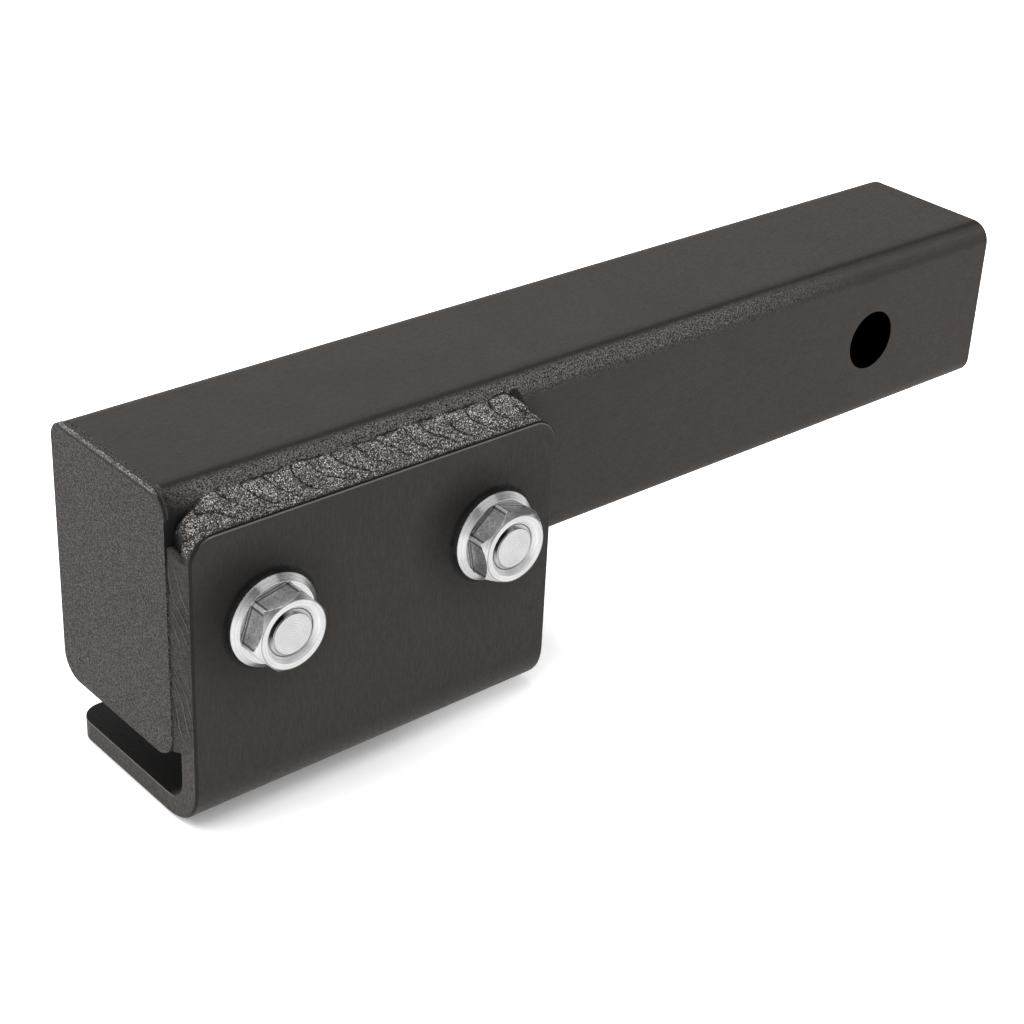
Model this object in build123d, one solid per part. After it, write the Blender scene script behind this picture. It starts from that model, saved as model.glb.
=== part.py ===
from build123d import *
import math
import os

# A receiver hitch shank with a bent clamp plate welded and bolted to its near end. Millimetres.
# X runs along the shank from the capped near end to the end that slides into the receiver.
# Y runs from the front, where the nuts are, to the back. Z is up.
# The origin is the centre of the pin hole, on the shank's own centre line.

# Shank: a square steel tube, open at the receiver end
shank_side = 50.8
shank_wall = 4.76
shank_corner_radius = 6.0
shank_least_inner_radius = 0.8
shank_length = 297.3
pin_hole_diameter = 18.0
pin_hole_from_end = 50.3

# Cap plate over the near end
cap_thickness = 2.5
cap_weld_width = 1.2
cap_weld_proud = 0.15

# Solid bar under the shank, which makes the near end thicker
spacer_height = 23.2
spacer_edge_radius = 6.8
spacer_setback = 3.0

# Clamp plate: a flat plate on the front, bent under the bar to leave a slot above its lip
plate_thickness = 6.35
plate_width = 112.5
plate_inset = 2.6
plate_drop = 10.0
plate_corner_radius = 7.0
plate_bevel = 0.6
bend_inner_radius = 7.0
clamp_gap = 13.9
lip_reach = 50.8
lip_corner_radius = 6.0

# Bolts, through the shank and the plate, just above the shank's lower wall
bolt_diameter = 12.7
near_bolt_from_edge = 22.3
far_bolt_from_edge = 20.9
bolt_to_wall = 1.7
bolt_hole_clearance = 0.8
bolt_end_bevel = 0.95

# Flange heads and flange nuts: both are hexagons that stand on a wide sloping flange
hex_across_flats = 19.05
hex_bevel_angle = 50.0
hex_face_diameter = 18.7
flange_diameter = 25.4
flange_rim = 1.7
flange_slope = 1.5
nut_height = 9.9
nut_countersink = 1.4
nut_thread_clearance = 0.05
bolt_end_recess = 0.4
head_height = 9.6
near_nut_turn = 12.0
far_nut_turn = 40.0
head_turn = 20.0

# Top weld: a rippled bead between the plate's top edge and the shank's upper front corner
weld_toe_angle = 35.0
weld_bulge = 1.0
weld_start_leg = 2.8
weld_leg_growth = 0.34
weld_ripple_pitch = 0.75
weld_wander = 0.3
weld_wander_step = 137.5
weld_start_angle = 18.0
weld_end_from_edge = 2.5

# Side weld: a low bead down the plate's near edge
side_weld_height = 5.6
side_weld_edge_gap = 0.3
side_weld_hollow = 0.3
side_weld_end_gap = 1.0
side_weld_from_bottom = 3.0
side_weld_root = 2.0
side_weld_taper = 6.0

# Welds that hold the bar to the shank
seam_weld_height = 4.4
seam_weld_end_gap = 6.0
bar_end_weld_leg = 5.0

# Places that follow from the sizes
near_x = pin_hole_from_end - shank_length
far_x = pin_hole_from_end
top_z = shank_side / 2
front_y = -shank_side / 2
back_y = shank_side / 2
shank_bottom_z = top_z - shank_side
block_bottom_z = shank_bottom_z - spacer_height
plate_left_x = near_x + plate_inset
plate_right_x = plate_left_x + plate_width
plate_front_y = front_y - plate_thickness
plate_top_z = top_z - plate_drop
lip_top_z = block_bottom_z - clamp_gap
lip_bottom_z = lip_top_z - plate_thickness
lip_end_y = front_y + lip_reach
tube_start_x = near_x + cap_thickness
bar_end_x = plate_right_x - spacer_setback
bolt_z = shank_bottom_z + shank_wall + bolt_to_wall + bolt_diameter / 2
near_bolt_x = plate_left_x + near_bolt_from_edge
far_bolt_x = plate_right_x - far_bolt_from_edge
bolt_hole_diameter = bolt_diameter + bolt_hole_clearance
bolt_tip_y = plate_front_y - nut_height + bolt_end_recess


def box(x_range, y_range, z_range):
    """A block between two limits on each axis."""
    (x0, x1), (y0, y1), (z0, z1) = x_range, y_range, z_range
    centre = ((x0 + x1) / 2, (y0 + y1) / 2, (z0 + z1) / 2)
    return Pos(*centre) * Box(x1 - x0, y1 - y0, z1 - z0)


def along_x(face, start, end):
    """A face drawn on the YZ plane, pushed from one X to another."""
    return extrude(Pos(start, 0, 0) * face, amount=end - start, dir=(1, 0, 0))


def rod_y(diameter, x, z, y_start, y_end):
    """A round rod that lies along Y."""
    centre = Pos(x, (y_start + y_end) / 2, z)
    return centre * Rot(90, 0, 0) * Cylinder(diameter / 2, y_end - y_start)


def shank_envelope(start, end):
    """The shank's outside as a solid bar, which welds and cuts are made against."""
    return along_x(Plane.YZ * RectangleRounded(shank_side, shank_side, shank_corner_radius), start, end)


def bolt_places():
    return (near_bolt_x, far_bolt_x)


def shank_tube():
    """Square tube with a cross hole for the receiver pin and two for the bolts."""
    inner_side = shank_side - 2 * shank_wall
    inner_radius = max(shank_corner_radius - shank_wall, shank_least_inner_radius)
    hollow = along_x(Plane.YZ * RectangleRounded(inner_side, inner_side, inner_radius), tube_start_x, far_x)
    tube = shank_envelope(tube_start_x, far_x) - hollow
    tube -= rod_y(pin_hole_diameter, 0, 0, 2 * front_y, 2 * back_y)
    for x in bolt_places():
        tube -= rod_y(bolt_hole_diameter, x, bolt_z, 2 * front_y, 2 * back_y)
    return tube


def block_section():
    """Outline of the thick near end: the shank's rounded top on the bar's rounded bottom."""
    middle = Pos(0, shank_bottom_z) * Rectangle(shank_side, 2 * spacer_edge_radius)
    upper = RectangleRounded(shank_side, shank_side, shank_corner_radius)
    lower_height = spacer_height + spacer_edge_radius
    lower_centre = block_bottom_z + lower_height / 2
    lower = Pos(0, lower_centre) * RectangleRounded(shank_side, lower_height, spacer_edge_radius)
    return Plane.YZ * (upper + lower + middle)


def cap_weld():
    """Narrow ground bead along the cap's top edge and round its two upper corners."""
    ring = offset(block_section(), cap_weld_proud) - offset(block_section(), -cap_weld_width)
    corner_start_z = top_z - shank_corner_radius
    upper = box((near_x, tube_start_x), (2 * front_y, 2 * back_y), (corner_start_z, 2 * top_z))
    return along_x(ring, near_x, near_x + cap_weld_width) & upper


def end_cap():
    """Cap plate that closes the shank and the bar, rebated along its top edge for its weld."""
    return along_x(block_section(), near_x, tube_start_x) - cap_weld()


def spacer_bar():
    """Solid bar under the shank, rounded along its two lower edges."""
    size = ((tube_start_x, bar_end_x), (front_y, back_y), (block_bottom_z, shank_bottom_z))
    bar = box(*size)
    lower_edges = bar.faces().sort_by(Axis.Z)[0].edges().filter_by(Axis.X)
    return fillet(lower_edges, spacer_edge_radius)


def clamp_plate():
    """Plate bent in an L: the front leg takes the bolts, and the lip passes under the bar."""
    outer_radius = bend_inner_radius + plate_thickness
    leg = Rectangle(lip_reach + plate_thickness, plate_top_z - lip_bottom_z, align=(Align.MIN, Align.MIN))
    outer = fillet(leg.vertices().sort_by(Axis.X)[:2].sort_by(Axis.Y)[:1], outer_radius)
    bite = Rectangle(lip_reach, plate_top_z - lip_top_z, align=(Align.MIN, Align.MIN))
    inner = fillet(bite.vertices().sort_by(Axis.X)[:2].sort_by(Axis.Y)[:1], bend_inner_radius)
    profile = Pos(plate_front_y, lip_bottom_z) * outer - Pos(front_y, lip_top_z) * inner
    plate = along_x(Plane.YZ * profile, plate_left_x, plate_right_x)
    top_corners = plate.edges().filter_by(Axis.Y).group_by(Axis.Z)[-1]
    plate = fillet(top_corners, plate_corner_radius)
    lip_corners = plate.edges().filter_by(Axis.Z).group_by(Axis.Y)[-1]
    plate = fillet(lip_corners, lip_corner_radius)
    front_outline = plate.faces().sort_by(Axis.Y)[0].outer_wire().edges()
    plate = chamfer(front_outline.sort_by(Axis.Z)[-1], plate_bevel)
    for x in bolt_places():
        plate -= rod_y(bolt_hole_diameter, x, bolt_z, 2 * plate_front_y, 0)
    return plate


def hex_piece(height, turn):
    """Flanged hexagon that stands on the XY plane: rim, sloping flange, then the bevelled hexagon."""
    rim_radius = flange_diameter / 2
    corner_radius = hex_across_flats / math.sqrt(3)
    flange = Cylinder(rim_radius, flange_rim, align=(Align.CENTER, Align.CENTER, Align.MIN))
    slope = Pos(0, 0, flange_rim) * Cone(
        rim_radius, corner_radius, flange_slope, align=(Align.CENTER, Align.CENTER, Align.MIN)
    )
    hexagon = Rot(0, 0, turn) * extrude(RegularPolygon(hex_across_flats / 2, 6, major_radius=False), height)
    bevel_drop = (corner_radius - hex_face_diameter / 2) * math.tan(math.radians(hex_bevel_angle))
    body = Cylinder(corner_radius, height - bevel_drop, align=(Align.CENTER, Align.CENTER, Align.MIN))
    crown = Pos(0, 0, height - bevel_drop) * Cone(
        corner_radius, hex_face_diameter / 2, bevel_drop, align=(Align.CENTER, Align.CENTER, Align.MIN)
    )
    return flange + slope + (hexagon & (body + crown))


def flange_nut(x, turn):
    """Flange nut against the plate's front, with a countersunk mouth round the bolt's end."""
    bore = bolt_diameter / 2 + nut_thread_clearance
    mouth = bore + nut_countersink
    nut = hex_piece(nut_height, turn) - Cylinder(bore, 3 * nut_height)
    nut -= Pos(0, 0, nut_height - nut_countersink) * Cone(
        bore, mouth, nut_countersink, align=(Align.CENTER, Align.CENTER, Align.MIN)
    )
    return Pos(x, plate_front_y, bolt_z) * Rot(90, 0, 0) * nut


def flange_bolt(x):
    """Flange bolt from the back, through both walls of the shank and the plate."""
    shaft_length = back_y - bolt_tip_y
    shaft = Cylinder(bolt_diameter / 2, shaft_length, align=(Align.CENTER, Align.CENTER, Align.MAX))
    shaft = chamfer(shaft.edges().sort_by(Axis.Z)[0], bolt_end_bevel)
    bolt = hex_piece(head_height, head_turn) + shaft
    return Pos(x, back_y, bolt_z) * Rot(-90, 0, 0) * bolt


def bead_circle(leg):
    """Centre (out from the shank's face, up from the plate's edge) and radius of the bead's round face."""
    chord = math.hypot(plate_thickness, leg)
    radius = (chord**2 / 4 + weld_bulge**2) / (2 * weld_bulge)
    depth = radius - weld_bulge
    out = plate_thickness / 2 - depth * leg / chord
    up = leg / 2 - depth * plate_thickness / chord
    return out, up, radius


def ripple(travel, leg, wander):
    """One round ripple of the bead, as a ball whose crown makes the bead's face."""
    out, up, radius = bead_circle(leg)
    x, z = weld_path_point(travel, up + wander)
    return Pos(x, front_y - out, z) * Sphere(radius)


def weld_path_point(travel, up):
    """Point at a distance along the plate's outline: round its top near corner, then along its top edge."""
    centre_x = plate_left_x + plate_corner_radius
    centre_z = plate_top_z - plate_corner_radius
    start = math.radians(weld_start_angle)
    corner_length = plate_corner_radius * (math.pi / 2 - start)
    if travel >= corner_length:
        return centre_x + travel - corner_length, plate_top_z + up
    angle = start + travel / plate_corner_radius
    reach = plate_corner_radius + up
    return centre_x - reach * math.cos(angle), centre_z + reach * math.sin(angle)


def top_weld():
    """Bead laid as a row of overlapping round ripples, then trimmed to the shank and the plate."""
    toe = math.radians(weld_toe_angle)
    full_leg = plate_drop - shank_corner_radius * (1 - math.sin(toe))
    start = math.radians(weld_start_angle)
    corner_length = plate_corner_radius * (math.pi / 2 - start)
    length = corner_length + plate_width - plate_corner_radius - weld_end_from_edge
    last_travel = length - math.hypot(plate_thickness, full_leg) / 2
    ripples = []
    travel = 0
    while travel < last_travel:
        leg = min(full_leg, weld_start_leg + weld_leg_growth * travel)
        wander = weld_wander * math.sin(math.radians(weld_wander_step * len(ripples)))
        ripples.append(ripple(travel, leg, wander))
        travel += weld_ripple_pitch * bead_circle(leg)[2]
    ripples.append(ripple(last_travel, full_leg, 0))
    bead = ripples[0].fuse(*ripples[1:])
    clear = max(plate_width, shank_length)
    over_plate = Rectangle(plate_width, clear, align=(Align.MIN, Align.MAX))
    over_plate = fillet(over_plate.vertices().group_by(Axis.Y)[-1], plate_corner_radius)
    shadow = extrude(Plane.XZ * Pos(plate_left_x, plate_top_z) * over_plate, amount=clear, both=True)
    weld_end_x = plate_right_x - weld_end_from_edge
    above = box((tube_start_x, weld_end_x), (2 * plate_front_y, 0), (shank_bottom_z, top_z))
    return (bead & above) - shank_envelope(near_x, far_x) - shadow


def side_weld():
    """Low bead in the corner between the near end's front face and the plate's near edge."""
    root_y = front_y + side_weld_root
    plate_toe = (plate_left_x, front_y - side_weld_height)
    shank_toe = (near_x + side_weld_edge_gap, front_y)
    slope = Vector(*plate_toe) - Vector(*shank_toe)
    middle = (Vector(*plate_toe) + Vector(*shank_toe)) / 2
    inward = Vector(-slope.Y, slope.X).normalized() * -side_weld_hollow
    hollow_face = ThreePointArc(plate_toe, middle - inward, shank_toe)
    back = Polyline(shank_toe, (shank_toe[0], root_y), (plate_left_x, root_y), plate_toe)
    low_z = block_bottom_z + side_weld_from_bottom
    high_z = plate_top_z - plate_corner_radius - side_weld_end_gap
    bead = extrude(Pos(0, 0, low_z) * make_face([back, hollow_face]), amount=high_z - low_z)
    taper_profile = make_face(
        Polyline(
            (root_y, low_z),
            (front_y, low_z),
            (front_y - side_weld_height, low_z + side_weld_taper),
            (front_y - side_weld_height, high_z - side_weld_taper),
            (front_y, high_z),
            (root_y, high_z),
            close=True,
        )
    )
    tapered = bead & along_x(Plane.YZ * taper_profile, near_x, plate_left_x)
    return tapered - along_x(block_section(), near_x, bar_end_x) - top_weld()


def bar_seam_weld():
    """Weld that fills the groove between the shank's rounded lower back corner and the bar."""
    x_range = (tube_start_x + seam_weld_end_gap, bar_end_x - seam_weld_end_gap)
    y_range = (back_y - shank_corner_radius, back_y)
    z_range = (shank_bottom_z, shank_bottom_z + seam_weld_height)
    return box(x_range, y_range, z_range) - shank_envelope(near_x, far_x)


def bar_end_weld():
    """Fillet weld across the bar's end, under the shank's flat bottom."""
    corner = (bar_end_x, shank_bottom_z)
    section = make_face(
        Polyline(
            corner,
            (bar_end_x + bar_end_weld_leg, shank_bottom_z),
            (bar_end_x, shank_bottom_z - bar_end_weld_leg),
            close=True,
        )
    )
    half_length = shank_side / 2 - shank_corner_radius
    return extrude(Plane.XZ * section, amount=half_length, both=True)


def main():
    pieces = {
        "shank_tube": shank_tube(),
        "end_cap": end_cap(),
        "cap_weld": cap_weld(),
        "spacer_bar": spacer_bar(),
        "clamp_plate": clamp_plate(),
        "top_weld": top_weld(),
        "side_weld": side_weld(),
        "bar_seam_weld": bar_seam_weld(),
        "bar_end_weld": bar_end_weld(),
        "near_bolt": flange_bolt(near_bolt_x),
        "far_bolt": flange_bolt(far_bolt_x),
        "near_nut": flange_nut(near_bolt_x, near_nut_turn),
        "far_nut": flange_nut(far_bolt_x, far_nut_turn),
    }
    os.makedirs("parts", exist_ok=True)
    for name, piece in pieces.items():
        export_step(piece, f"parts/{name}.step")


main()
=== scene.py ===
import math

import bpy
from mathutils import Matrix, Vector, noise


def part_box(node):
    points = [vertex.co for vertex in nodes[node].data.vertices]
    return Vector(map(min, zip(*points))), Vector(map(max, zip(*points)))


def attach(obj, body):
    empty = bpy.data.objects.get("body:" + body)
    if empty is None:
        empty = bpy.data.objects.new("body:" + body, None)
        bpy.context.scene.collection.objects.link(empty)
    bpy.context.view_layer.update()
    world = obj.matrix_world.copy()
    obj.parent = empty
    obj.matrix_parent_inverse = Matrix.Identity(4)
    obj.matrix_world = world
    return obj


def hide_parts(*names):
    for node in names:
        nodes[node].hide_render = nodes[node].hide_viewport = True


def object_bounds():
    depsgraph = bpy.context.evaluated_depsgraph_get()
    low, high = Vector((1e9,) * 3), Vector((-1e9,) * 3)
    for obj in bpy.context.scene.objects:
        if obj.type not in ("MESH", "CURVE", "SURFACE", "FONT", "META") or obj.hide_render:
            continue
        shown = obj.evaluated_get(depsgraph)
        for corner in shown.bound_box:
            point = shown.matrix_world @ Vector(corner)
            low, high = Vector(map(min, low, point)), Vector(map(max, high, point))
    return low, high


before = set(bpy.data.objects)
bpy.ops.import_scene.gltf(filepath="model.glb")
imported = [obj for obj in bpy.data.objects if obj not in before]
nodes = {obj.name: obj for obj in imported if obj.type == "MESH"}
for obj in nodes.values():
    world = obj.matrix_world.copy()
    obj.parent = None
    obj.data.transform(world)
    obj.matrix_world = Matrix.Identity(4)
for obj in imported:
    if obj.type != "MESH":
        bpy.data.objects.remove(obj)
cad_low, cad_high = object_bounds()

# Camera, in metres and degrees, in the part's own frame
camera_place = Vector((-0.47441, -0.39990, 0.26665))
camera_azimuth = -41.744
camera_elevation = 29.146
camera_roll = 2.968
camera_lens = 76.227
camera_sensor = 36.0

# Sizes that the weld pieces share with the CAD, in metres
shank_side = 0.0508
shank_corner = 0.0060
front_y = -shank_side / 2
top_z = shank_side / 2
plate_low, plate_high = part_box("clamp_plate")
plate_corner = 0.0070
plate_left = plate_low.x
plate_right = plate_high.x
plate_front = plate_low.y
plate_top = plate_high.z
near_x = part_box("end_cap")[0].x
weld_end_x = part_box("top_weld")[1].x
side_low, side_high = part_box("side_weld")
seam_low, seam_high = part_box("bar_seam_weld")
near_nut_low, near_nut_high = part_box("near_nut")
far_nut_low, far_nut_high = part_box("far_nut")
near_middle = (near_nut_low + near_nut_high) / 2
far_middle = (far_nut_low + far_nut_high) / 2
nut_slope_y = plate_front - 0.0032

# How far a corner of each nut, and of the bolt heads behind, is turned from level
near_nut_turn = math.radians(12.0)
far_nut_turn = math.radians(40.0)
head_turn = math.radians(20.0)

# Floor: distances in metres, lights as shares of full brightness, pairs as the ends of a fade
floor_size = 6.0
floor_colour = (0.80, 0.80, 0.80, 1.0)
floor_glow = 0.55
floor_shown = (1.75, 1.75, 1.75)
floor_base = 0.34
floor_contact = 0.026
floor_contact_open = (0.35, 0.98)
floor_contact_least = 0.47
floor_fade_x = (-0.190, -0.125)
floor_fade_least = 0.45
floor_reach = 0.10
floor_reach_open = (0.50, 0.96)
floor_reach_least = 0.60
floor_reach_end_x = (plate_right - 0.005, plate_right + 0.030)
floor_lit_x = (plate_left + 0.003, plate_left - 0.003)
floor_lit_light = 0.35
floor_far_x = (-0.180, -0.130)
floor_far_light = 0.20
occlusion_samples = 4

# Black card in the hollow: painted shade, so that the pin hole shows dark
hole_card_x = 0.044
hole_card_top = 0.002
hole_card_inset = 0.0052

# Light: soft boxes as name, offset from the object's middle, size and power
world_light = 0.70
ceiling_rise = (0.15, 0.6)
ceiling_grey = 0.22
lamps = (
    ("top", (-0.2, 0.2, 1.2), 1.5, 12),
    ("left", (-1.2, -0.2, 0.9), 1.0, 3),
    ("front", (0.3, -1.2, 0.9), 1.0, 2),
)

# Shared by the materials
noise_span = (0.3, 0.7)
bevel_samples = 4


def smooth(low, high, value):
    """Smooth step from 0 at low to 1 at high."""
    t = min(1.0, max(0.0, (value - low) / (high - low)))
    return t * t * (3 - 2 * t)


def make_camera():
    """Camera at the object's main viewing angle."""
    azimuth = math.radians(camera_azimuth)
    elevation = math.radians(camera_elevation)
    back = Vector(
        (
            math.sin(azimuth) * math.cos(elevation),
            -math.cos(azimuth) * math.cos(elevation),
            math.sin(elevation),
        )
    )
    right = (-back).cross(Vector((0, 0, 1))).normalized()
    up = right.cross(-back)
    turn = Matrix((right, up, back)).transposed().to_4x4()
    data = bpy.data.cameras.new("camera")
    data.lens = camera_lens
    data.sensor_width = camera_sensor
    data.clip_start = 0.01
    data.clip_end = 50.0
    camera = bpy.data.objects.new("camera", data)
    bpy.context.scene.collection.objects.link(camera)
    roll = Matrix.Rotation(math.radians(camera_roll), 4, "Z")
    camera.matrix_world = Matrix.Translation(camera_place) @ turn @ roll
    bpy.context.scene.camera = camera


class Graph:
    """Short way to add and link shader nodes."""

    def __init__(self, tree):
        self.tree = tree
        tree.nodes.clear()

    def add(self, kind, **settings):
        node = self.tree.nodes.new(kind)
        for key, value in settings.items():
            setattr(node, key, value)
        return node

    def put(self, node, socket, value):
        """Set a socket to a value, or link it to another node's output."""
        target = node.inputs[socket]
        if isinstance(value, bpy.types.NodeSocket):
            self.tree.links.new(value, target)
        else:
            target.default_value = value
        return node

    def math(self, operation, a, b=0.0):
        node = self.add("ShaderNodeMath", operation=operation)
        self.put(node, 0, a)
        self.put(node, 1, b)
        return node.outputs[0]

    def one_minus(self, value):
        return self.math("SUBTRACT", 1.0, value)

    def noise(self, vector, scale, detail, roughness):
        node = self.add("ShaderNodeTexNoise")
        self.put(node, "Vector", vector)
        self.put(node, "Scale", scale)
        self.put(node, "Detail", detail)
        self.put(node, "Roughness", roughness)
        return node.outputs[0]

    def stretch(self, vector, scale):
        node = self.add("ShaderNodeMapping")
        self.put(node, "Vector", vector)
        self.put(node, "Scale", scale)
        return node.outputs[0]

    def scale(self, vector, amount):
        """A colour made lighter or darker by a factor."""
        node = self.add("ShaderNodeVectorMath", operation="SCALE")
        self.put(node, 0, vector)
        self.put(node, "Scale", amount)
        return node.outputs[0]

    def split(self, vector):
        node = self.add("ShaderNodeSeparateXYZ")
        self.put(node, 0, vector)
        return node

    def normal(self):
        return self.split(self.add("ShaderNodeNewGeometry").outputs["Normal"])

    def ramp(self, value, low, high, out_low=0.0, out_high=1.0):
        """Straight run from out_low at low to out_high at high, level beyond both."""
        node = self.add("ShaderNodeMapRange")
        self.put(node, "Value", value)
        self.put(node, "From Min", low)
        self.put(node, "From Max", high)
        self.put(node, "To Min", out_low)
        self.put(node, "To Max", out_high)
        return node.outputs[0]

    def choose(self, amount, first, second):
        """Mix of two shader nodes."""
        node = self.add("ShaderNodeMixShader")
        self.put(node, 0, amount)
        self.put(node, 1, first.outputs[0])
        self.put(node, 2, second.outputs[0])
        return node

    def sum(self, first, second):
        """Sum of two shader nodes."""
        node = self.add("ShaderNodeAddShader")
        self.put(node, 0, first.outputs[0])
        self.put(node, 1, second.outputs[0])
        return node

    def shiny_ray(self, path):
        """1 for glossy and transmission rays."""
        return self.math("MAXIMUM", path.outputs["Is Glossy Ray"], path.outputs["Is Transmission Ray"])

    def finish(self, shader, kind="ShaderNodeOutputMaterial"):
        self.put(self.add(kind), "Surface", shader.outputs[0])


def new_graph(name):
    material = bpy.data.materials.new(name)
    material.use_nodes = True
    return material, Graph(material.node_tree)


def floor_share(g, split, lit_side):
    """Painted shadow: the share of the light that the camera sees on the floor, less where the object
    stands close.
    """
    near = g.add("ShaderNodeAmbientOcclusion", samples=occlusion_samples)
    g.put(near, "Distance", floor_contact)
    share = g.ramp(near.outputs["AO"], *floor_contact_open, floor_contact_least, 1.0)
    strength = g.ramp(split.outputs["X"], *floor_fade_x, 1.0, floor_fade_least)
    share = g.one_minus(times(g, g.one_minus(share), strength))
    wide = g.add("ShaderNodeAmbientOcclusion", samples=occlusion_samples)
    g.put(wide, "Distance", floor_reach)
    wide_share = g.ramp(wide.outputs["AO"], *floor_reach_open, floor_reach_least, 1.0)
    wide_share = g.math("MAXIMUM", wide_share, g.ramp(split.outputs["X"], *floor_reach_end_x))
    share = g.math("MINIMUM", share, wide_share)
    return g.math("MAXIMUM", share, lit_side)


def make_floor():
    """Pale floor that shows white where it is lit, and keeps the object's shadow, deepened by a painted
    shadow from how covered the floor is, with painted light on its left and far sides.
    """
    material, g = new_graph("floor")
    diffuse = g.put(g.add("ShaderNodeBsdfDiffuse"), "Color", floor_colour)
    glow = g.put(g.add("ShaderNodeEmission"), "Strength", floor_glow)
    split = g.split(g.add("ShaderNodeTexCoord").outputs["Object"])
    lit_side = g.ramp(split.outputs["X"], *floor_lit_x)
    open_share = floor_share(g, split, lit_side)
    bright = g.put(g.add("ShaderNodeBsdfDiffuse"), "Color", g.scale(floor_shown, open_share))
    # The camera sees a brighter floor, darkened by the painted shadow, with painted light added beside
    # the lip's left side and towards the far side.
    base_light = g.math("MULTIPLY", open_share, floor_base)
    base_light = g.math("ADD", base_light, g.math("MULTIPLY", lit_side, floor_lit_light))
    far_side = g.ramp(split.outputs["X"], *floor_far_x)
    base_light = g.math("ADD", base_light, g.math("MULTIPLY", far_side, floor_far_light))
    base = g.put(g.add("ShaderNodeEmission"), "Strength", base_light)
    path = g.add("ShaderNodeLightPath")
    first = g.choose(g.shiny_ray(path), diffuse, g.sum(diffuse, glow))
    g.finish(g.choose(path.outputs["Is Camera Ray"], first, g.sum(bright, base)))
    mesh = bpy.data.meshes.new("floor")
    half = floor_size / 2
    corners = [(-half, -half, 0), (half, -half, 0), (half, half, 0), (-half, half, 0)]
    mesh.from_pydata(corners, [], [(0, 1, 2, 3)])
    floor = bpy.data.objects.new("floor", mesh)
    floor.location = (0, 0, cad_low.z)
    mesh.materials.append(material)
    bpy.context.scene.collection.objects.link(floor)


def make_world():
    """Even pale light; the camera sees white, and shiny surfaces see a grey ceiling over white."""
    world = bpy.data.worlds.new("world")
    world.use_nodes = True
    g = Graph(world.node_tree)
    dim = g.put(g.add("ShaderNodeBackground"), "Strength", world_light)
    white = g.put(g.add("ShaderNodeBackground"), "Color", (1, 1, 1, 1))
    place = g.split(g.add("ShaderNodeTexCoord").outputs["Generated"])
    height = g.ramp(place.outputs["Z"], *ceiling_rise, 1.0, ceiling_grey)
    shade = g.add("ShaderNodeCombineColor")
    for index in range(3):
        g.put(shade, index, height)
    studio = g.put(g.add("ShaderNodeBackground"), "Color", shade.outputs[0])
    path = g.add("ShaderNodeLightPath")
    first = g.choose(g.shiny_ray(path), dim, studio)
    g.finish(g.choose(path.outputs["Is Camera Ray"], first, white), "ShaderNodeOutputWorld")
    bpy.context.scene.world = world


def make_hole_shadow_card():
    """Small black card in the shank's hollow: painted shade, so that the pin hole shows dark from the
    front.
    """
    material, g = new_graph("hole_painted_shade")
    g.finish(g.put(g.add("ShaderNodeBsdfDiffuse"), "Color", (0.0, 0.0, 0.0, 1.0)))
    mesh = bpy.data.meshes.new("hole_shadow_card")
    half = shank_side / 2 - hole_card_inset
    corners = [
        (hole_card_x, -half, -half),
        (hole_card_x, half, -half),
        (hole_card_x, half, hole_card_top),
        (hole_card_x, -half, hole_card_top),
    ]
    mesh.from_pydata(corners, [], [(0, 1, 2, 3)])
    mesh.materials.append(material)
    card = bpy.data.objects.new("hole_shadow_card", mesh)
    bpy.context.scene.collection.objects.link(card)


def area_lamp(name, place, target, size, power):
    """Square soft box that faces a target."""
    data = bpy.data.lights.new(name, "AREA")
    data.size = size
    data.energy = power
    lamp = bpy.data.objects.new(name, data)
    lamp.location = place
    direction = Vector(target) - Vector(place)
    lamp.rotation_mode = "QUATERNION"
    lamp.rotation_quaternion = direction.to_track_quat("-Z", "Y")
    bpy.context.scene.collection.objects.link(lamp)


def make_lamps():
    middle = (cad_low + cad_high) / 2
    for name, offset, size, power in lamps:
        area_lamp(name, middle + Vector(offset), middle, size, power)


def spread(g, value, grain):
    """Noise turned into a brightness factor round 1."""
    return g.ramp(value, *noise_span, 1 - grain, 1 + grain)


def times(g, *values):
    """Product of several values."""
    result = values[0]
    for value in values[1:]:
        result = g.math("MULTIPLY", result, value)
    return result


def distance_from(g, split, x, z):
    """Distance of the shaded point from a line along Y."""
    off_x = g.math("SUBTRACT", split.outputs["X"], x)
    off_z = g.math("SUBTRACT", split.outputs["Z"], z)
    total = g.math("ADD", g.math("MULTIPLY", off_z, off_z), g.math("MULTIPLY", off_x, off_x))
    return g.math("SQRT", total)


def patch(g, split, x, z, half_x, half_z):
    """Distance from a point on a front face, as a share of an ellipse's half sizes."""
    off_x = g.math("DIVIDE", g.math("SUBTRACT", split.outputs["X"], x), half_x)
    off_z = g.math("DIVIDE", g.math("SUBTRACT", split.outputs["Z"], z), half_z)
    total = g.math("ADD", g.math("MULTIPLY", off_x, off_x), g.math("MULTIPLY", off_z, off_z))
    return g.math("SQRT", total)


# Painted shade and painted highlights on the shank tube. A pair is where a fade starts and ends: metres
# for places, and the share of the surface's normal for fronts (towards -Y), sides (X) and rises (Z).
# Darks and lights are shares.
hollow_edge = (0.0207, 0.0212)
hole_edge = (0.00904, 0.00918)
pocket_x = near_x + 0.0030
pocket_z = top_z - 0.0120
pocket_half_x = 0.0052
pocket_half_z = 0.0092
pocket_fade = (0.6, 1.7)
pocket_light = 0.01
weld_foot_x = near_x + 0.0090
weld_foot_z = top_z - 0.0078
weld_foot_half_x = 0.0062
weld_foot_half_z = 0.0030
weld_foot_fade = (0.4, 1.5)
weld_foot_light = 0.35
painted_shade_front = (0.1, 0.5)
band_front = (0.28, 0.60)
band_rise = (0.02, 0.40)
band_grain_scale = 2500.0
band_grain = (0.38, 0.62, -0.085, 0.160)
band_rough_x = (-0.070, -0.005)
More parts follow.
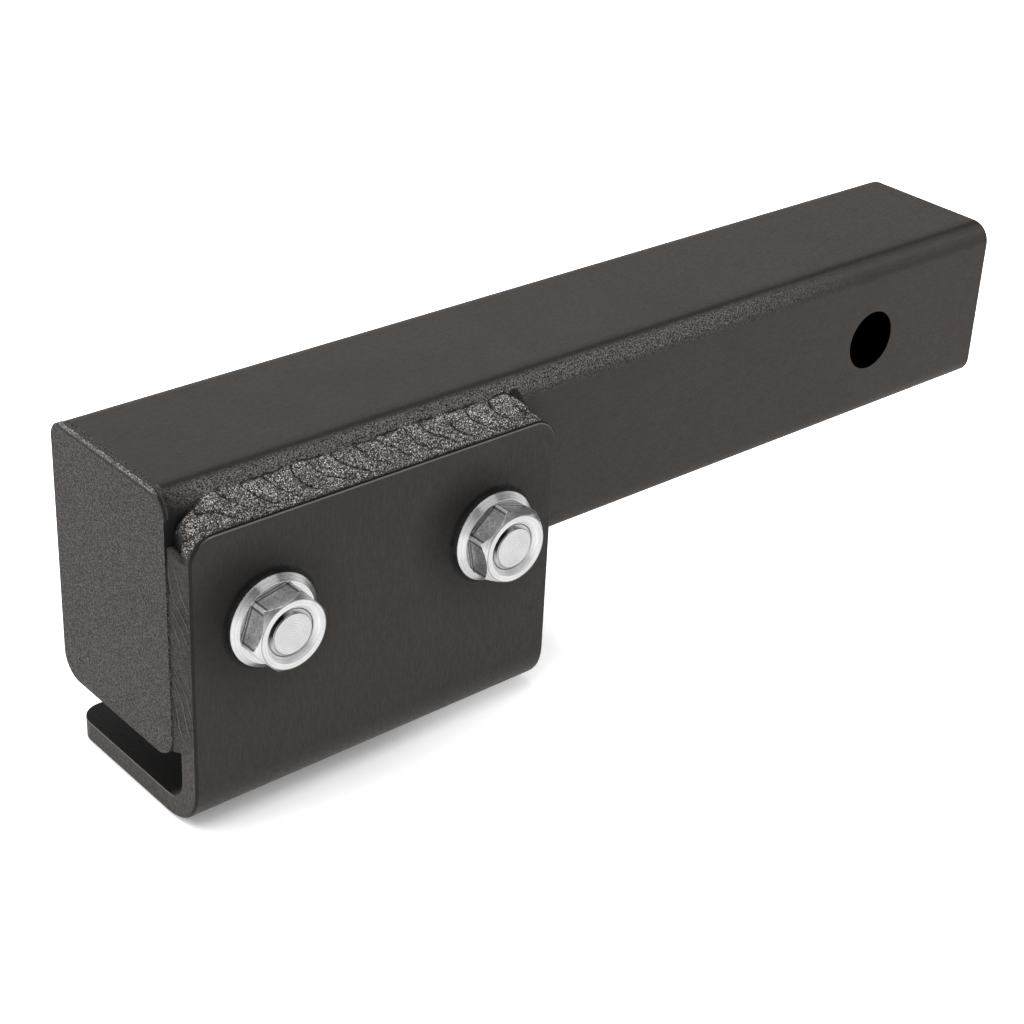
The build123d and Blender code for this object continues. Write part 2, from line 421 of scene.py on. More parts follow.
crest_start = (0.45, 0.68)
crest_end = (0.90, 0.72)
crest_light = 0.018
lower_start = (0.90, 0.96)
lower_end = (0.9995, 0.985)
lower_rise = (0.02, 0.10)
lower_dark = 0.22
above_start = (0.02, 0.14)
above_end = (0.46, 0.26)
above_dark = 0.62
beside_y = (front_y + 0.0082, front_y + 0.0060)
beside_front = (0.04, 0.01)
beside_rise = (0.9, 0.99)
beside_dark = 0.30
coat_gloss = 0.2


def tube_inside(g, split):
    """Painted shade: 0 in the shank's hollow and in the pin hole, which are painted black, 1 outside."""
    across = g.math("ABSOLUTE", split.outputs["Y"])
    up = g.math("ABSOLUTE", split.outputs["Z"])
    hollow = g.ramp(g.math("MAXIMUM", across, up), *hollow_edge)
    hole = g.ramp(distance_from(g, split, 0.0, 0.0), *hole_edge)
    return times(g, hollow, hole)


def recess_shade(g, split):
    """Painted shade in the recess between the cap's edge and the start of the top weld."""
    away = patch(g, split, pocket_x, pocket_z, pocket_half_x, pocket_half_z)
    return g.ramp(away, *pocket_fade, pocket_light, 1.0)


def tube_marks(g, split, normal, place):
    """Painted black in the hollow, a painted highlight band with grain along the upper front corner
    between painted dark lines, painted shade by the weld.
    """
    front = g.math("MULTIPLY", normal.outputs["Y"], -1.0)
    rise = normal.outputs["Z"]
    # Painted highlight: a band picked by the way the rounded corner faces, with grain near the weld and
    # a pale crest beyond.
    band = times(g, g.ramp(front, *band_front), g.ramp(rise, *band_rise))
    grained = g.ramp(g.noise(place, band_grain_scale, 3.0, 0.8), *band_grain)
    rough_part = g.ramp(split.outputs["X"], *band_rough_x, 1.0, 0.0)
    crest = times(g, g.ramp(front, *crest_start), g.ramp(front, *crest_end), crest_light)
    grained = g.math("ADD", times(g, grained, rough_part), times(g, crest, g.one_minus(rough_part)))
    # Painted shade: dark lines below the band, above it, and on the top face beside the front edge.
    lower = times(g, g.ramp(front, *lower_start), g.ramp(front, *lower_end), lower_dark)
    above = times(g, g.ramp(front, *above_start), g.ramp(front, *above_end))
    beside = times(g, g.ramp(split.outputs["Y"], *beside_y), g.ramp(front, *beside_front))
    beside = times(g, beside, g.ramp(rise, *beside_rise))
    line = g.one_minus(g.math("MULTIPLY", above, above_dark))
    line = g.math("SUBTRACT", line, g.math("MULTIPLY", beside, beside_dark))
    line = g.math("SUBTRACT", line, times(g, lower, g.ramp(rise, *lower_rise)))
    # Painted shade near the recess and along the top weld's foot, on front faces only.
    foot = patch(g, split, weld_foot_x, weld_foot_z, weld_foot_half_x, weld_foot_half_z)
    painted_shade = times(g, recess_shade(g, split), g.ramp(foot, *weld_foot_fade, weld_foot_light, 1.0))
    front_only = g.ramp(front, *painted_shade_front)
    painted_shade = g.math("ADD", times(g, painted_shade, front_only), g.one_minus(front_only))
    inside = tube_inside(g, split)
    return times(g, line, painted_shade, inside), times(g, band, grained, painted_shade), times(g, inside, coat_gloss)


# Painted shade and painted highlights on the clamp plate, in the same units as the tube's
nut_ring = (0.0135, 0.0141)
nut_ring_light = 0.66
nut_ring_end = 0.026
nut_side_shift = (-0.0075, 0.0050)
nut_side_fade = (0.0105, 0.0200)
nut_side_light = 0.52
bevel_start = (0.35, 0.6)
bevel_end = (0.95, 0.8)
bevel_z = (plate_low.z + 0.012, plate_low.z + 0.02)
bevel_side = (-0.5, -0.1)
bevel_line = (0.00026, 0.00032)
bevel_line_back = (0.00032, 0.00026)
bevel_dark = 0.95
bevel_light = 0.115
left_start = (0.35, 0.5)
left_end = (0.97, 0.9)
left_side = (-0.15, -0.4)
left_dark = 0.65
near_edge_side = (-0.75, -0.9)
near_edge_grain = (0.36, 0.64, -0.016, 0.042)
lip_y = (plate_front + 0.0070, plate_front + 0.0085)
lip_z = (plate_low.z + 0.0055, plate_low.z + 0.0062)
lip_side = (0.6, 0.3)
lip_dark = 0.85
lip_rim_y = (plate_front + 0.010, plate_front + 0.013)
lip_rim_z = (plate_low.z + 0.00580, plate_low.z + 0.00600)
lip_rim_light = 0.12
coarse_scale = 1700.0


def plate_marks(g, split, normal, place):
    """Painted shade round the nuts, a dark line and a painted highlight along the top and far edges,
    painted shade on the left bevel, grain with painted sheen on the near edge, a painted highlight on
    the lip's rim, painted shade in the slot.
    """
    nut_shade = 1.0
    # Painted shade: a dark ring round each nut's flange, a halo fading out from it, and a darker patch
    # beside it.
    for middle in (near_middle, far_middle):
        away = distance_from(g, split, middle.x, middle.z)
        nut_shade = times(g, nut_shade, g.ramp(away, *nut_ring, 0.0, nut_ring_light))
        nut_shade = times(g, nut_shade, g.ramp(away, nut_ring[1], nut_ring_end, 1.0, 1.0 / nut_ring_light))
        side = distance_from(g, split, middle.x + nut_side_shift[0], middle.z + nut_side_shift[1])
        nut_shade = times(g, nut_shade, g.ramp(side, *nut_side_fade, nut_side_light, 1.0))
    front = g.math("MULTIPLY", normal.outputs["Y"], -1.0)
    # A dark line and a painted highlight line along the bevel of the top and far edges.
    bevel = times(g, g.ramp(front, *bevel_start), g.ramp(front, *bevel_end))
    bevel = times(g, bevel, g.ramp(split.outputs["Z"], *bevel_z))
    bevel = times(g, bevel, g.ramp(normal.outputs["X"], *bevel_side))
    depth = g.math("SUBTRACT", split.outputs["Y"], plate_front)
    dark = g.one_minus(times(g, bevel, g.ramp(depth, *bevel_line), bevel_dark))
    bright = times(g, bevel, g.ramp(depth, *bevel_line_back), bevel_light)
    # Painted shade on the bevel that faces left.
    left = times(g, g.ramp(front, *left_start), g.ramp(front, *left_end))
    left = times(g, left, g.ramp(normal.outputs["X"], *left_side))
    left = g.one_minus(g.math("MULTIPLY", left, left_dark))
    # Grain with a painted sheen on the near edge face, and a painted highlight on the lip's rim.
    edge = g.ramp(normal.outputs["X"], *near_edge_side)
    rim = times(g, g.ramp(split.outputs["Z"], *lip_rim_z), edge)
    rim = times(g, rim, g.ramp(split.outputs["Y"], *lip_rim_y), lip_rim_light)
    grain = g.noise(place, coarse_scale, 3.0, 0.75)
    edge = times(g, edge, g.ramp(grain, *near_edge_grain))
    # Painted shade on the lip's top inside the slot.
    inner = times(g, g.ramp(split.outputs["Y"], *lip_y), g.ramp(split.outputs["Z"], *lip_z))
    flat_lip = g.ramp(g.math("ABSOLUTE", normal.outputs["X"]), *lip_side)
    slot_shade = g.one_minus(times(g, inner, flat_lip, lip_dark))
    painted_light = g.math("ADD", bright, g.math("ADD", edge, rim))
    return times(g, nut_shade, slot_shade, left, dark), painted_light, coat_gloss


# Marks on the end cap and its weld, in the same units as the tube's
cap_front = (-0.3, -0.6)
cap_strip_side = (-0.9, -0.7)
cap_strip_z = (top_z - 0.012, top_z - 0.008)
cap_strip_dark = 0.22
cap_face_side = (-0.9, -0.97)
cap_face_line = (0.00165, 0.00150)
cap_face_dark = 0.80
cap_line_below = (0.00080, 0.00065)
cap_line_side = (-0.9, -0.6)
cap_line_into = (0.00062, 0.00050)
cap_line_y = (front_y + 0.0020, front_y + 0.0050)
cap_line_end = (0.00084, 0.00096)
cap_line_black = 0.05
cap_line_plain = 0.48


def cap_marks(g, split, normal, place):
    """Painted shade from the recess on the cap's front edge, and a darker strip and line along its top
    edge.
    """
    front = g.ramp(normal.outputs["Y"], *cap_front)
    painted_shade = g.math("ADD", times(g, recess_shade(g, split), front), g.one_minus(front))
    rim = g.ramp(normal.outputs["X"], *cap_strip_side)
    rim = times(g, rim, g.ramp(split.outputs["Z"], *cap_strip_z))
    face = g.ramp(normal.outputs["X"], *cap_face_side)
    below = g.math("SUBTRACT", top_z, split.outputs["Z"])
    line = times(g, face, g.ramp(below, *cap_face_line))
    dark = g.one_minus(g.math("MULTIPLY", line, cap_face_dark))
    strip = g.one_minus(g.math("MULTIPLY", rim, cap_strip_dark))
    return times(g, painted_shade, dark, strip), 0.0, coat_gloss


# Powder coat and weld coat: noise scales per metre, bump distances in metres
# Tint of the painted highlights that a coat's marks add
painted_light_tint = (1.0, 0.93, 0.88)
cloud_scale = 55.0
cloud_grain = 0.06
speck_share = 0.45
speck_limit = 0.4
smoother = 0.08
rougher = 0.1
coat_edge = 0.0002
coat_bump = 0.5
coat_bump_distance = 0.00012
streak_bump = 4
weld_rough_scale = 2100.0
weld_pit_scale = 3900.0
weld_patch_scale = 220.0
weld_patch_grain = 0.25
weld_pit_share = 1.3
weld_bump = 0.9
weld_bump_distance = 0.0003


def coat(name, colour, grain, grain_size=0.0004, streak=None, streaks=0.0, roughness=0.55, marks=None):
    """Powder coat: fine grain, soft mottling, faint streaks and barely rounded edges."""
    material, g = new_graph(name)
    place = g.add("ShaderNodeTexCoord").outputs["Object"]
    fine = g.noise(place, 1 / grain_size, 2.0, 0.6)
    speck = g.noise(place, speck_share / grain_size, 3.0, 0.6)
    cloud = g.noise(place, cloud_scale, 4.0, 0.55)
    light = times(g, spread(g, fine, grain), spread(g, speck, 0.5 * min(grain, speck_limit)))
    light = times(g, light, spread(g, cloud, cloud_grain))
    height = fine
    if streak:
        lines = g.noise(g.stretch(place, streak), 1.0, 3.0, 0.55)
        light = times(g, light, spread(g, lines, streaks))
        height = g.math("ADD", fine, g.math("MULTIPLY", lines, streak_bump * streaks))
    painted_light = 0.0
    gloss = coat_gloss
    # Marks paint shade and highlights into the colour.
    if marks:
        dark, painted_light, gloss = marks(g, g.split(place), g.normal(), place)
        light = times(g, light, dark)
    total = g.add("ShaderNodeVectorMath", operation="ADD")
    g.put(total, 0, g.scale(colour, g.math("MAXIMUM", light, 0.0)))
    g.put(total, 1, g.scale(painted_light_tint, painted_light))
    least = g.add("ShaderNodeVectorMath", operation="MAXIMUM")
    g.put(least, 0, total.outputs[0])
    g.put(least, 1, (0.0, 0.0, 0.0))
    shader = g.add("ShaderNodeBsdfPrincipled")
    g.put(shader, "Base Color", least.outputs[0])
    g.put(shader, "Roughness", g.ramp(speck, *noise_span, roughness - smoother, roughness + rougher))
    g.put(shader, "Specular IOR Level", gloss)
    soft = g.add("ShaderNodeBevel", samples=bevel_samples)
    g.put(soft, "Radius", coat_edge)
    bump = g.add("ShaderNodeBump")
    g.put(bump, "Strength", coat_bump)
    g.put(bump, "Distance", coat_bump_distance)
    g.put(bump, "Height", height)
    g.put(bump, "Normal", soft.outputs[0])
    g.put(shader, "Normal", bump.outputs[0])
    g.finish(shader)
    return material


def cap_line(g, place, light):
    """Grain only along the cap's top edge, a dark line above it, then the plain coat."""
    split = g.split(place)
    normal = g.normal()
    into = g.math("SUBTRACT", split.outputs["X"], near_x)
    below = g.math("SUBTRACT", top_z, split.outputs["Z"])
    on_top = g.ramp(normal.outputs["X"], *cap_line_side)
    grained = g.math("MAXIMUM", g.ramp(below, *cap_line_below), on_top)
    grained = times(g, grained, g.ramp(into, *cap_line_into))
    grained = times(g, grained, g.ramp(split.outputs["Y"], *cap_line_y))
    plain = g.ramp(into, *cap_line_end, cap_line_black, cap_line_plain)
    return g.math("MAXIMUM", times(g, light, grained), plain)


def weld_coat(name, colour, speckle, bump_distance=weld_bump_distance, crack_shaded=False, line=False):
    """Coat over rough weld metal: coarse bright and dark grain, with painted shade in the cracks."""
    material, g = new_graph(name)
    place = g.add("ShaderNodeTexCoord").outputs["Object"]
    rough = g.noise(place, weld_rough_scale, 3.0, 0.75)
    pits = g.noise(place, weld_pit_scale, 2.0, 0.7)
    patches = g.noise(place, weld_patch_scale, 3.0, 0.6)
    light = times(g, spread(g, rough, speckle), spread(g, pits, weld_pit_share * speckle))
    light = times(g, light, spread(g, patches, weld_patch_grain))
    light = g.math("MAXIMUM", light, 0.05)
    if crack_shaded:
        # Painted shade from the points' crack values.
        depth = g.add("ShaderNodeAttribute", attribute_name="crack_and_shade").outputs["Fac"]
        light = g.math("MULTIPLY", light, g.one_minus(depth))
    if line:
        light = cap_line(g, place, light)
    shader = g.add("ShaderNodeBsdfPrincipled")
    g.put(shader, "Base Color", g.scale(colour, g.math("MAXIMUM", light, 0.02)))
    g.put(shader, "Roughness", g.ramp(rough, *noise_span, 0.35, 0.6))
    g.put(shader, "Specular IOR Level", g.ramp(pits, 0.4, 0.6, 0.1, 0.5))
    bump = g.add("ShaderNodeBump")
    g.put(bump, "Strength", weld_bump)
    g.put(bump, "Distance", bump_distance)
    g.put(bump, "Height", g.math("ADD", rough, g.math("MULTIPLY", pits, 0.5)))
    g.put(shader, "Normal", bump.outputs[0])
    g.finish(shader)
    return material


# Zinc: pairs of distances from the bolt's axis where a mark starts and ends, in metres; turns in radians
zinc_colour = (0.555, 0.555, 0.555)
flat_lean = (0.30, 0.15)
flat_outer = (0.0122, 0.0118)
flat_inner = (0.0088, 0.0092)
flat_light = 0.92
flat_speck = (0.36, 0.64, -0.34, 0.34)
front_side = (0.001, -0.001)
hex_half = math.pi / 6
hex_corner_turn = (0.050, 0.035)
hex_corner_light = 0.8
shade_start = (0.050, 0.060)
shade_end = (0.105, 0.085)
shade_light = 0.35
foot_y = (nut_slope_y - 0.0009, nut_slope_y - 0.0006)
foot_light = 0.30
thread_lean = (-0.78, 0.63)
thread_lean_fade = (0.50, 0.90)
thread_start = (0.00555, 0.00575)
thread_end = (0.00645, 0.00630)
thread_light = 0.03
circle_start = (0.00530, 0.00545)
circle_end = (0.00570, 0.00555)
circle_dark = 0.55
mouth_start = (0.00622, 0.00636)
mouth_end = (0.00660, 0.00646)
mouth_dark = 0.50
bolt_end = (0.0054, 0.0052)
bolt_end_light = 0.90
dish_start = (0.00630, 0.00645)
dish_end = (0.0080, 0.0078)
dish_light = 1.35
rim_start = (0.00910, 0.00920)
rim_end = (0.00950, 0.00940)
rim_light = 0.62
zinc_cloud_scale = 260.0
zinc_grain_scale = 2600.0
turning_pitch = 9000.0
turning_wander = 0.0008
zinc_roughness = (0.15, 0.27)
zinc_rougher = 0.30
zinc_edge = 0.0003
zinc_bump = 0.2
zinc_bump_distance = 0.00006


def factor(g, mask, light):
    """Brightness factor that is 1 outside a mark and light inside it."""
    return g.ramp(mask, 0.0, 1.0, 1.0, light)


def zinc_plate(name, middle, turn):
    """Bright zinc with brushed flats, lighter hex corners, painted shade on the flats and in the thread
    round the bolt's end, and a painted reflection in the dish.
    """
    material, g = new_graph(name)
    place = g.add("ShaderNodeTexCoord").outputs["Object"]
    split = g.split(place)
    normal = g.normal()
    away = distance_from(g, split, middle.x, middle.z)
    off_x = g.math("SUBTRACT", split.outputs["X"], middle.x)
    off_z = g.math("SUBTRACT", split.outputs["Z"], middle.z)
    side_on = g.ramp(g.math("ABSOLUTE", normal.outputs["Y"]), *flat_lean)
    flats = times(g, side_on, g.ramp(away, *flat_outer), g.ramp(away, *flat_inner))
    in_front = g.ramp(split.outputs["Y"], *front_side)
    corner = g.ramp(in_front, 0.0, 1.0, -head_turn, turn)
    angle = g.math("SUBTRACT", g.math("ARCTAN2", off_z, off_x), corner)
    sector = g.math("WRAP", angle, hex_half)
    sector.node.inputs[2].default_value = -hex_half
    from_corner = g.math("ABSOLUTE", sector)
    hex_corner_line = times(g, flats, g.ramp(from_corner, *hex_corner_turn))
    shade = times(g, flats, g.ramp(from_corner, *shade_start), g.ramp(from_corner, *shade_end))
    foot = times(g, flats, g.ramp(split.outputs["Y"], *foot_y))
    # Painted shade in the thread: dark crescents on two opposite sides, with thin dark circles at the
    # bolt's edge and the nut's mouth.
    lean_x = g.math("MULTIPLY", off_x, thread_lean[0])
    lean_z = g.math("MULTIPLY", off_z, thread_lean[1])
    lean = g.math("DIVIDE", g.math("ADD", lean_x, lean_z), g.math("MAXIMUM", away, 0.0001))
    thread = times(g, g.ramp(away, *thread_start), g.ramp(away, *thread_end))
    thread = times(g, thread, g.ramp(g.math("ABSOLUTE", lean), *thread_lean_fade))
    circle = times(g, g.ramp(away, *circle_start), g.ramp(away, *circle_end), circle_dark)
    mouth = times(g, g.ramp(away, *mouth_start), g.ramp(away, *mouth_end), mouth_dark)
    thread = g.math("MAXIMUM", thread, g.math("MAXIMUM", circle, mouth))
    thread = g.math("MULTIPLY", thread, in_front)
    end = g.math("MULTIPLY", g.ramp(away, *bolt_end), in_front)
    # Painted reflection: the dish is made brighter.
    dish = times(g, in_front, g.ramp(away, *dish_start), g.ramp(away, *dish_end))
    rim = times(g, g.ramp(away, *rim_start), g.ramp(away, *rim_end), g.one_minus(side_on))
    cloud = g.noise(place, zinc_cloud_scale, 4.0, 0.6)
    grain = g.noise(place, zinc_grain_scale, 2.0, 0.5)
    turning = g.math("ADD", away, g.math("MULTIPLY", cloud, turning_wander))
    turning = g.math("SINE", g.math("MULTIPLY", turning, turning_pitch))
    speck = g.ramp(g.noise(place, coarse_scale, 3.0, 0.75), *flat_speck)
    light = times(g, g.ramp(cloud, *noise_span, 0.92, 1.08), g.ramp(turning, -1.0, 1.0, 0.94, 1.06))
    light = times(g, light, g.ramp(grain, *noise_span, 0.96, 1.04))
    light = times(g, light, factor(g, flats, flat_light), factor(g, shade, shade_light))
    light = times(g, light, g.math("ADD", 1.0, g.math("MULTIPLY", speck, flats)))
    light = times(g, light, factor(g, end, bolt_end_light), factor(g, thread, thread_light))
    light = times(g, light, factor(g, dish, dish_light), factor(g, rim, rim_light))
    light = times(g, light, factor(g, foot, foot_light))
    light = g.math("ADD", light, g.math("MULTIPLY", hex_corner_line, hex_corner_light))
    rough = g.math("MULTIPLY", g.math("MAXIMUM", flats, dish), zinc_rougher)
    rough = g.math("ADD", g.ramp(cloud, *noise_span, *zinc_roughness), rough)
    shader = g.add("ShaderNodeBsdfPrincipled")
    g.put(shader, "Base Color", g.scale(zinc_colour, light))
    g.put(shader, "Metallic", 1.0)
    g.put(shader, "Roughness", rough)
    soft = g.add("ShaderNodeBevel", samples=bevel_samples)
    g.put(soft, "Radius", zinc_edge)
    bump = g.add("ShaderNodeBump")
    g.put(bump, "Strength", zinc_bump)
    g.put(bump, "Distance", zinc_bump_distance)
    g.put(bump, "Height", grain)
    g.put(bump, "Normal", soft.outputs[0])
    g.put(shader, "Normal", bump.outputs[0])
    g.finish(shader)
    return material


def dress(material, *names):
    """Give pieces of the frame one material."""
    for name in names:
        mesh = nodes[name].data
        mesh.materials.clear()
        mesh.materials.append(material)


def mark_points(piece, values):
    """Store a value for each point, which the weld coat paints as shade in the cracks and along the
    edges, and where negative as a highlight.
    """
    layer = piece.data.attributes.new("crack_and_shade", "FLOAT", "POINT")
    layer.data.foreach_set("value", values)


def ring_mesh(name, rings, material):
    """Closed tube from rings of points, each ring with the same number of points."""
    count = len(rings[0])
    points = [point for ring in rings for point in ring]
    faces = []
    for row in range(len(rings) - 1):
        for column in range(count):
            after = (column + 1) % count
            base = row * count
            faces.append((base + column, base + after, base + count + after, base + count + column))
    faces.append(tuple(reversed(range(count))))
    last = (len(rings) - 1) * count
    faces.append(tuple(last + column for column in range(count)))
    mesh = bpy.data.meshes.new(name)
    mesh.from_pydata(points, [], faces)
    mesh.validate()
    mesh.polygons.foreach_set("use_smooth", [True] * len(mesh.polygons))
    mesh.materials.append(material)
    piece = bpy.data.objects.new(name, mesh)
    bpy.context.scene.collection.objects.link(piece)
    return piece


# Top weld bead, in metres
bead_steps = 1200
bead_across = 60
bead_grain_width = 0.009
bead_start_angle = math.radians(18.0)
bead_start_leg = 0.0004
bead_leg_growth = 0.64
bead_full_leg = 0.0074
bead_bulge = 0.0011
bead_end = weld_end_x - 0.0010
bead_tail = 0.0048
bead_sink = 0.00025
bead_lap = 0.0007
bead_start_fade = 0.0035
bead_end_fade = 0.0030
bead_wander = 0.07
bead_shiver = 0.03
bead_toe_wave = 0.00030
bead_top_gap = 0.0008
bead_root = 0.0012
ripple_pitch = 0.0068
ripple_lean = 0.05
ripple_curve = 1.75
ripple_curve_power = 2.6
ripple_drift = 0.46
ripple_fine_drift = 0.13
ripple_height = 0.00066
lump_height = 0.00024
pimple_height = 0.00020
grain_height = 0.00014
crack_width = 0.055
crack_depth = 0.00036
tail_start = 0.0095
tail_end = 0.0040
last_crack = 0.0042
first_crack = (0.0065, 0.0025)


def shank_face(z):
    """Y of the shank's front surface at a height, round its upper corner."""
    rise = z - (top_z - shank_corner)
    if rise <= 0:
        return front_y
    rise = min(rise, shank_corner)
    return front_y + shank_corner - math.sqrt(shank_corner**2 - rise**2)


def bead_path(travel):
    """Point (x, z) on the plate's outline and the outward direction there."""
    centre_z = plate_top - plate_corner
    first = plate_corner * (math.pi / 2 - bead_start_angle)
    straight = plate_right - plate_left - 2 * plate_corner
    if travel < first:
        centre_x = plate_left + plate_corner
        angle = bead_start_angle + travel / plate_corner
        away_x = -math.cos(angle)
        away_z = math.sin(angle)
    elif travel < first + straight:
        return plate_left + plate_corner + travel - first, plate_top, 0.0, 1.0
    else:
        centre_x = plate_right - plate_corner
        angle = (travel - first - straight) / plate_corner
        away_x = math.sin(angle)
        away_z = math.cos(angle)
    return centre_x + plate_corner * away_x, centre_z + plate_corner * away_z, away_x, away_z


def ridge(phase):
    """Height of one overlapping streak: a steep leading edge and a long back."""
    part = phase - math.floor(phase)
    return math.exp(-((part / 0.30) ** 2)) + math.exp(-(((1 - part) / 0.10) ** 2)) - 0.25


def bead_phase(travel, across, x, z):
    """Place along the row of overlapping pads; each pad's edge leans and curves towards the far end."""
    point = Vector((x, across * bead_grain_width, z))
    drift = noise.noise(point * 100.0) * ripple_drift + noise.noise(point * 330.0) * ripple_fine_drift
    down = 1 - across
    curve = ripple_curve * down**ripple_curve_power
    return travel / ripple_pitch - ripple_lean * down - curve + drift


def bead_crack(travel, across, x, z, length):
    """Depth of the cracks, from 0 to 1: between the pads, along both toes and at the far end; the weld
    coat also paints it as shade.
    """
    phase = bead_phase(travel, across, x, z)
    part = phase - math.floor(phase)
    near = min(part, 1 - part)
    which = round(phase)
    point = Vector((x, across * bead_grain_width, z))
    ragged = noise.noise(point * 700.0)
    uneven = noise.noise(Vector((which * 1.7, 4.0, 0.0)))
    width = crack_width * (0.75 + 0.5 * uneven + 0.7 * ragged)
    strength = 1.05 + 0.9 * noise.noise(Vector((which * 2.3, across * 2.6, 9.0)))
    strength *= smooth(0.06, 0.26, across) * smooth(0.0, 0.10, 1 - across)
    crack_and_shade = math.exp(-((near / max(width, 0.01)) ** 2)) * min(1.0, max(0.0, strength))
    tail = smooth(tail_start, tail_end, length - travel)
    toe_low = 0.875 + 0.03 * ragged - 0.50 * tail
    toe_high = 0.925 + 0.03 * ragged - 0.40 * tail
    toe = smooth(toe_low, toe_high, across)
    toe *= min(1.0, 0.85 + 0.9 * noise.noise(point * 240.0))
    foot = 0.9 * math.exp(-((across / 0.055) ** 2))
    pits = max(0.0, noise.noise(point * 900.0 + Vector((4, 4, 4))) - 0.42) * 2.2
    last = 0.85 * smooth(last_crack, 0.0, length - travel) * smooth(0.25, 0.6, across)
    first = 0.98 * smooth(0.30, 0.60, across) * smooth(*first_crack, travel)
    return min(1.0, max(crack_and_shade, toe, foot, pits, last, first))


def bead_relief(travel, across, x, z):
    """Height of the weld's rough skin above its plain round face."""
    point = Vector((x, across * bead_grain_width, z))
    phase = bead_phase(travel, across, x, z)
    part = phase - math.floor(phase)
    depth = 0.60 + 0.8 * noise.noise(point * 170.0 + Vector((3, 7, 1)))
    dome = math.sin(math.pi * part) ** 0.6 * (1.15 - 0.5 * part)
    height = ripple_height * dome * min(1.2, max(0.2, depth))
    height += lump_height * noise.noise(point * 330.0)
    height += pimple_height * noise.noise(point * 900.0 + Vector((5, 2, 8)))
    height += grain_height * noise.noise(point * 1900.0 + Vector((1, 9, 4)))
    return height


def top_bead(material):
    """The top weld at full detail, laid between the plate's outline and the shank's corner."""
    length = plate_corner * (math.pi / 2 - bead_start_angle)
    length += plate_right - plate_left - 2 * plate_corner
    length += plate_corner * math.asin((bead_end - plate_right + plate_corner) / plate_corner)
    rings = []
    painted_shading = []
    for step in range(bead_steps + 1):
        travel = length * step / bead_steps
        x, z, away_x, away_z = bead_path(travel)
        leg = min(bead_full_leg, bead_start_leg + bead_leg_growth * travel)
        wander = noise.noise(Vector((travel * 230, 1.5, 0)))
        leg *= 1 + bead_wander * wander + bead_shiver * noise.noise(Vector((travel * 800, 3.5, 0)))
        begun = smooth(0, bead_start_fade, travel)
        left = min(1.0, (length - travel) / bead_tail)
        fade = begun * smooth(0, bead_end_fade, length - travel)
        leg *= (0.35 + 0.65 * begun) * (0.05 + 0.95 * left**3)
        toe_wave = bead_toe_wave * noise.noise(Vector((travel * 420, 8.0, 0)))
        plate_point = Vector((x - away_x * bead_sink, plate_front + bead_lap, z - away_z * bead_sink))
        plate_point.y += 0.0003 * (1 - fade) + toe_wave
        toe_z = min(z + away_z * leg, top_z - bead_top_gap)
        shank_point = Vector((x + away_x * leg, shank_face(toe_z) + bead_sink, toe_z))
        chord = shank_point - plate_point
        away = Vector((away_x, 0, away_z))
        outward = Vector((0, -1, 0)) * chord.dot(away) + away * chord.y
        outward.normalize()
        ring = []
        for column in range(bead_across + 1):
            across = column / bead_across
            window = smooth(0, 0.10, across) * smooth(0, 0.10, 1 - across)
            crack_and_shade = bead_crack(travel, across, x, z, length)
            full = 0.3 + 0.7 * fade
            height = bead_bulge * 4 * across * (1 - across) * full * (0.1 + 0.9 * left)
            height += bead_relief(travel, across, x, z) * window * full
            height -= crack_depth * crack_and_shade * window
            ring.append(plate_point + chord * across + outward * height)
            painted_shading.append(crack_and_shade)
        ring.append(Vector((shank_point.x, front_y + bead_root, shank_point.z)))
        ring.append(Vector((x - away_x * 0.0006, front_y + 0.0006, z - away_z * 0.0006)))
        painted_shading.extend((0.0, 0.0))
        rings.append([tuple(point) for point in ring])
    piece = ring_mesh("top_bead", rings, material)
    mark_points(piece, painted_shading)
    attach(piece, "root")
    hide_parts("top_weld")


# Side weld bead, in metres
side_steps = 620
side_across = 40
side_reach = 0.0057
side_gap = 0.0004
side_lap = 0.0003
side_root = 0.0008
side_wave = 0.0002
side_rise = 0.0048
side_slant = 0.0030
side_slant_drop = 0.010
side_start_fade = 0.002
side_end_fade = 0.005
side_grain_width = 0.006
streak_pitch = 0.0062
streak_slope = 2.7
streak_drift = 1.1
streak_height = 0.00026
streak_rough = 0.00014
streak_grain = 0.00006
streak_light = (2.4, 0.10, 0.06)
streak_dark = (0.9, 0.30, 0.09)
beside_cap_dark = (1.1, 0.060)
beside_plate_dark = (0.8, 0.045)


def bell(value, height, middle, width):
    return height * math.exp(-(((value - middle) / width) ** 2))


